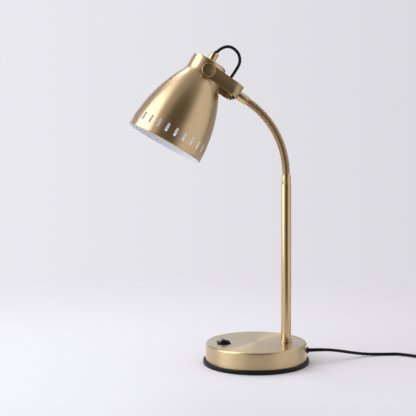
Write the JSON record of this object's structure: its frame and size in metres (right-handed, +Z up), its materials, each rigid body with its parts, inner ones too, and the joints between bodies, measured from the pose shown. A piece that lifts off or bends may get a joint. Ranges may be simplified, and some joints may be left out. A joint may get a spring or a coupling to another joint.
{
  "type": "gooseneck desk lamp",
  "caption": "Desk lamp with a weighted round base and rocker switch, a straight pole, a flexible ringed neck and a spun bell shade with vent slots that tilts in a strap yoke",
  "frame": {"origin": "middle of the foot ring, on the table", "axes": "+Z up the pole, +X from the middle of the base toward the pole and the cord exit, -Y toward the front"},
  "size_m": [0.5567, 0.2333, 0.4996],
  "materials": {
    "foot_ring": "matte",
    "base_shell": "satin, brushed round the axis",
    "base_weight": "rough",
    "bottom_plate": "zinc plated",
    "plate_screws": "zinc plated",
    "switch_housing": "fine matte",
    "switch_rocker": "semi gloss",
    "switch_terminals": "raw machined",
    "base_leads": "fine matte",
    "pole_nipple": "raw machined",
    "pole_washer": "zinc plated",
    "pole_nut": "raw machined",
    "pole_collar": "satin, brushed round the axis",
    "pole_insert": "raw machined",
    "pole": "satin, brushed round the axis",
    "pole_lead": "matte",
    "neck_adapter": "satin, brushed round the axis",
    "neck_link_01": "satin, brushed round the axis",
    "neck_link_02": "satin, brushed round the axis",
    "neck_link_03": "satin, brushed round the axis",
    "neck_link_04": "satin, brushed round the axis",
    "neck_link_05": "satin, brushed round the axis",
    "neck_link_06": "satin, brushed round the axis",
    "neck_link_07": "satin, brushed round the axis",
    "neck_link_08": "satin, brushed round the axis",
    "neck_link_09": "satin, brushed round the axis",
    "neck_link_10": "satin, brushed round the axis",
    "neck_link_11": "satin, brushed round the axis",
    "neck_link_12": "satin, brushed round the axis",
    "neck_link_13": "satin, brushed round the axis",
    "neck_link_14": "satin, brushed round the axis",
    "neck_ferrule": "satin, brushed round the axis",
    "neck_lead": "matte",
    "yoke": "dark antique satin",
    "yoke_nipple": "raw machined",
    "yoke_grommet": "fine matte",
    "yoke_nut": "raw machined",
    "cord_bushing": "fine matte",
    "pivot_saddles": "satin, brushed round the axis",
    "pivot_washers": "natural nylon",
    "pivot_screws": "dark antique satin",
    "pivot_nuts": "raw machined",
    "shade": "satin, brushed round the axis",
    "cap_gland": "satin, brushed round the axis",
    "holder_nipple": "raw machined",
    "holder_cap": "fine matte",
    "holder_skirt": "fine matte",
    "holder_insulator": "white ceramic",
    "holder_socket": "raw machined",
    "holder_contact": "raw machined",
    "loop_cord": "fine black braid",
    "cord_gland": "fine matte",
    "gland_nut": "fine matte",
    "cord_clamp": "zinc plated",
    "power_cord": "matte",
    "cord_coil": "matte",
    "plug_body": "fine matte",
    "plug_pins": "nickel plated"
  },
  "bodies": {
    "stand": {"foot_ring": "foot_ring", "base_shell": "base_shell", "base_weight": "base_weight", "bottom_plate": "bottom_plate", "plate_screws": "plate_screws", "switch_housing": "switch_housing", "switch_terminals": "switch_terminals", "base_leads": "base_leads", "pole_nipple": "pole_nipple", "pole_washer": "pole_washer", "pole_nut": "pole_nut", "pole_collar": "pole_collar", "pole_insert": "pole_insert", "pole": "pole", "pole_lead": "pole_lead", "neck_adapter": "neck_adapter", "neck_lead": "neck_lead", "cord_gland": "cord_gland", "gland_nut": "gland_nut", "cord_clamp": "cord_clamp", "power_cord": "power_cord", "cord_coil": "cord_coil", "plug_body": "plug_body", "plug_pins": "plug_pins"},
    "rocker": {"switch_rocker": "switch_rocker"},
    "link_01": {"neck_link_01": "neck_link_01"},
    "link_02": {"neck_link_02": "neck_link_02"},
    "link_03": {"neck_link_03": "neck_link_03"},
    "link_04": {"neck_link_04": "neck_link_04"},
    "link_05": {"neck_link_05": "neck_link_05"},
    "link_06": {"neck_link_06": "neck_link_06"},
    "link_07": {"neck_link_07": "neck_link_07"},
    "link_08": {"neck_link_08": "neck_link_08"},
    "link_09": {"neck_link_09": "neck_link_09"},
    "link_10": {"neck_link_10": "neck_link_10"},
    "link_11": {"neck_link_11": "neck_link_11"},
    "link_12": {"neck_link_12": "neck_link_12"},
    "link_13": {"neck_link_13": "neck_link_13"},
    "yoke": {"neck_link_14": "neck_link_14", "neck_ferrule": "neck_ferrule", "yoke": "yoke", "yoke_nipple": "yoke_nipple", "yoke_grommet": "yoke_grommet", "yoke_nut": "yoke_nut", "cord_bushing": "cord_bushing", "pivot_washers": "pivot_washers", "loop_cord": "loop_cord"},
    "head": {"shade": "shade", "pivot_saddles": "pivot_saddles", "pivot_screws": "pivot_screws", "pivot_nuts": "pivot_nuts", "cap_gland": "cap_gland", "holder_nipple": "holder_nipple", "holder_cap": "holder_cap", "holder_skirt": "holder_skirt", "holder_insulator": "holder_insulator", "holder_socket": "holder_socket", "holder_contact": "holder_contact"}
  },
  "joints": [
    {"name": "neck_bend", "type": "hinge", "parent": "stand", "child": "link_01", "pos_m": [0.04747, -0.00001, 0.29994], "axis": [0.225, -0.9744, 0], "range_deg": [-8, 6], "deforming": ["neck_lead"]},
    {"name": "neck_sway", "type": "hinge", "parent": "link_01", "child": "link_02", "pos_m": [0.04694, -0.00013, 0.30935], "axis": [-0.9703, -0.224, -0.0916], "range_deg": [-6.4, 6.4]},
    {"name": "neck_bend_2", "type": "hinge", "parent": "link_02", "child": "link_03", "pos_m": [0.04578, -0.0004, 0.3187], "axis": [0.225, -0.9744, 0], "range_deg": [-8, 6]},
    {"name": "neck_sway_2", "type": "hinge", "parent": "link_03", "child": "link_04", "pos_m": [0.04401, -0.00081, 0.32794], "axis": [-0.9489, -0.2191, -0.2273], "range_deg": [-6.4, 6.4]},
    {"name": "neck_bend_3", "type": "hinge", "parent": "link_04", "child": "link_05", "pos_m": [0.04161, -0.00136, 0.33704], "axis": [0.225, -0.9744, 0], "range_deg": [-8, 6]},
    {"name": "neck_sway_3", "type": "hinge", "parent": "link_05", "child": "link_06", "pos_m": [0.03861, -0.00205, 0.34595], "axis": [-0.9095, -0.21, -0.3587], "range_deg": [-6.4, 6.4]},
    {"name": "neck_bend_4", "type": "hinge", "parent": "link_06", "child": "link_07", "pos_m": [0.03503, -0.00288, 0.35462], "axis": [0.225, -0.9744, 0], "range_deg": [-8, 6]},
    {"name": "neck_sway_4", "type": "hinge", "parent": "link_07", "child": "link_08", "pos_m": [0.03087, -0.00384, 0.36302], "axis": [-0.853, -0.1969, -0.4834], "range_deg": [-6.4, 6.4]},
    {"name": "neck_bend_5", "type": "hinge", "parent": "link_08", "child": "link_09", "pos_m": [0.02616, -0.00493, 0.37111], "axis": [0.225, -0.9744, 0], "range_deg": [-8, 6]},
    {"name": "neck_sway_5", "type": "hinge", "parent": "link_09", "child": "link_10", "pos_m": [0.02091, -0.00614, 0.37885], "axis": [-0.7803, -0.1801, -0.5989], "range_deg": [-6.4, 6.4]},
    {"name": "neck_bend_6", "type": "hinge", "parent": "link_10", "child": "link_11", "pos_m": [0.01516, -0.00747, 0.3862], "axis": [0.225, -0.9744, 0], "range_deg": [-8, 6]},
    {"name": "neck_sway_6", "type": "hinge", "parent": "link_11", "child": "link_12", "pos_m": [0.00894, -0.0089, 0.39312], "axis": [-0.6929, -0.16, -0.7031], "range_deg": [-6.4, 6.4]},
    {"name": "neck_bend_7", "type": "hinge", "parent": "link_12", "child": "link_13", "pos_m": [0.00226, -0.01044, 0.39959], "axis": [0.225, -0.9744, 0], "range_deg": [-8, 6]},
    {"name": "neck_sway_7", "type": "hinge", "parent": "link_13", "child": "yoke", "pos_m": [-0.00483, -0.01208, 0.40557], "axis": [-0.5924, -0.1368, -0.794], "range_deg": [-6.4, 6.4]},
    {"name": "head_tilt", "type": "hinge", "parent": "yoke", "child": "head", "pos_m": [-0.08024, -0.02949, 0.45718], "axis": [0.225, -0.9744, 0], "range_deg": [-88, 12], "deforming": ["loop_cord"]},
    {"name": "switch_rock", "type": "hinge", "parent": "stand", "child": "rocker", "pos_m": [-0.05121, -0.00903, 0.0314], "axis": [-0.1736, 0.9848, 0], "range_deg": [0, 22]}
  ],
  "couplings": [
    {"joint": "neck_bend_2", "follows": "neck_bend", "ratio": 1},
    {"joint": "neck_sway_2", "follows": "neck_sway", "ratio": 1},
    {"joint": "neck_bend_3", "follows": "neck_bend", "ratio": 1},
    {"joint": "neck_sway_3", "follows": "neck_sway", "ratio": 1},
    {"joint": "neck_bend_4", "follows": "neck_bend", "ratio": 1},
    {"joint": "neck_sway_4", "follows": "neck_sway", "ratio": 1},
    {"joint": "neck_bend_5", "follows": "neck_bend", "ratio": 1},
    {"joint": "neck_sway_5", "follows": "neck_sway", "ratio": 1},
    {"joint": "neck_bend_6", "follows": "neck_bend", "ratio": 1},
    {"joint": "neck_sway_6", "follows": "neck_sway", "ratio": 1},
    {"joint": "neck_bend_7", "follows": "neck_bend", "ratio": 1},
    {"joint": "neck_sway_7", "follows": "neck_sway", "ratio": 1}
  ]
}
